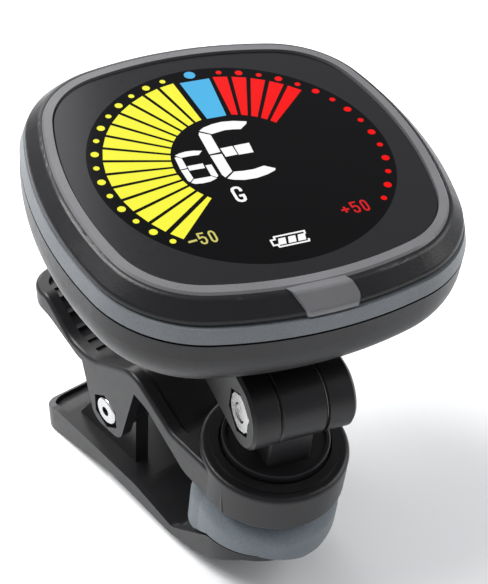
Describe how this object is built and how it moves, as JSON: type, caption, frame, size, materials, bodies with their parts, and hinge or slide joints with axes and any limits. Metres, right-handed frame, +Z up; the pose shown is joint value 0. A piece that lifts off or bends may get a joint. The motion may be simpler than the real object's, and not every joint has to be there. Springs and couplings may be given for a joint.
{
  "type": "clip-on instrument tuner",
  "caption": "Clip-on instrument tuner: rounded-square display head on a friction hinge and swivel disc, carried by a sprung two-arm clip with rubber jaw pads.",
  "frame": {"origin": "middle of the footprint, on the surface that the clip's lower arm stands on", "axes": "+Z up, +Y from the jaw to the handles of the clip, +X to the right seen from the jaw side's back; the head is stored turned 16 degrees about the swivel disc"},
  "size_m": [0.0598, 0.0644, 0.0663],
  "materials": {
    "clip_plastic": "satin moulded",
    "yoke_plastic": "satin moulded",
    "pad_rubber": "matt grey",
    "rivet_chrome": "polished",
    "screw_chrome": "polished",
    "spring_steel": "drawn wire",
    "inner_steel": "zinc plated",
    "washer_plastic": "natural nylon",
    "shell_plastic": "fine spark texture",
    "band_plastic": "grained satin grey-blue",
    "bezel_plastic": "black satin",
    "trim_paint": "satin grey metallic paint",
    "lens_black": "polished smoked window",
    "lcd_glass": "black",
    "guide_white": "clear white",
    "carrier_white": "moulded",
    "board_green": "solder mask",
    "chip_black": "moulded",
    "cell_foil": "foil",
    "piezo_brass": "rolled",
    "socket_steel": "plated",
    "switch_black": "moulded",
    "button_plastic": "satin"
  },
  "bodies": {
    "lower_clip": {"lower_arm": "clip_plastic", "lower_pad": "pad_rubber", "pivot_pin": "rivet_chrome", "pivot_cap": "rivet_chrome", "torsion_spring": "spring_steel"},
    "upper_clip": {"upper_arm": "clip_plastic", "upper_pad": "pad_rubber"},
    "yoke": {"swivel_yoke": "yoke_plastic", "friction_washers": "washer_plastic", "swivel_washer": "inner_steel", "swivel_screw": "inner_steel"},
    "head": {"back_cover": "shell_plastic", "mid_band": "band_plastic", "front_bezel": "bezel_plastic", "trim_ring": "trim_paint", "display_lens": "lens_black", "lcd_panel": "lcd_glass", "light_guide": "guide_white", "lcd_carrier": "carrier_white", "circuit_board": "board_green", "board_chips": "chip_black", "battery_cell": "cell_foil", "piezo_sensor": "piezo_brass", "charging_socket": "socket_steel", "tactile_switch": "switch_black", "case_screws": "inner_steel", "hinge_screw": "screw_chrome", "hinge_nut": "screw_chrome"},
    "button": {"power_button": "button_plastic"}
  },
  "joints": [
    {"name": "clip_pivot", "type": "hinge", "parent": "lower_clip", "child": "upper_clip", "pos_m": [-0.00569, 0.01064, 0.016], "axis": [-1, 0, 0], "range_deg": [0, 28], "stiffness_Nm_per_rad": 0.39, "springref_deg": -34.38, "deforming": ["torsion_spring"]},
    {"name": "head_swivel", "type": "hinge", "parent": "upper_clip", "child": "yoke", "pos_m": [-0.00569, -0.01736, 0.025], "axis": [0, -0.1488, 0.9889], "continuous": true},
    {"name": "head_tilt", "type": "hinge", "parent": "yoke", "child": "head", "pos_m": [-0.0064, -0.02135, 0.03471], "axis": [0.9613, -0.2726, -0.041], "range_deg": [0, 86]},
    {"name": "power_press", "type": "slide", "parent": "head", "child": "button", "axis": [-0.2756, -0.9506, -0.1431], "range_m": [0, 0.0005], "stiffness_N_per_m": 800, "springref_m": -0.0005}
  ]
}
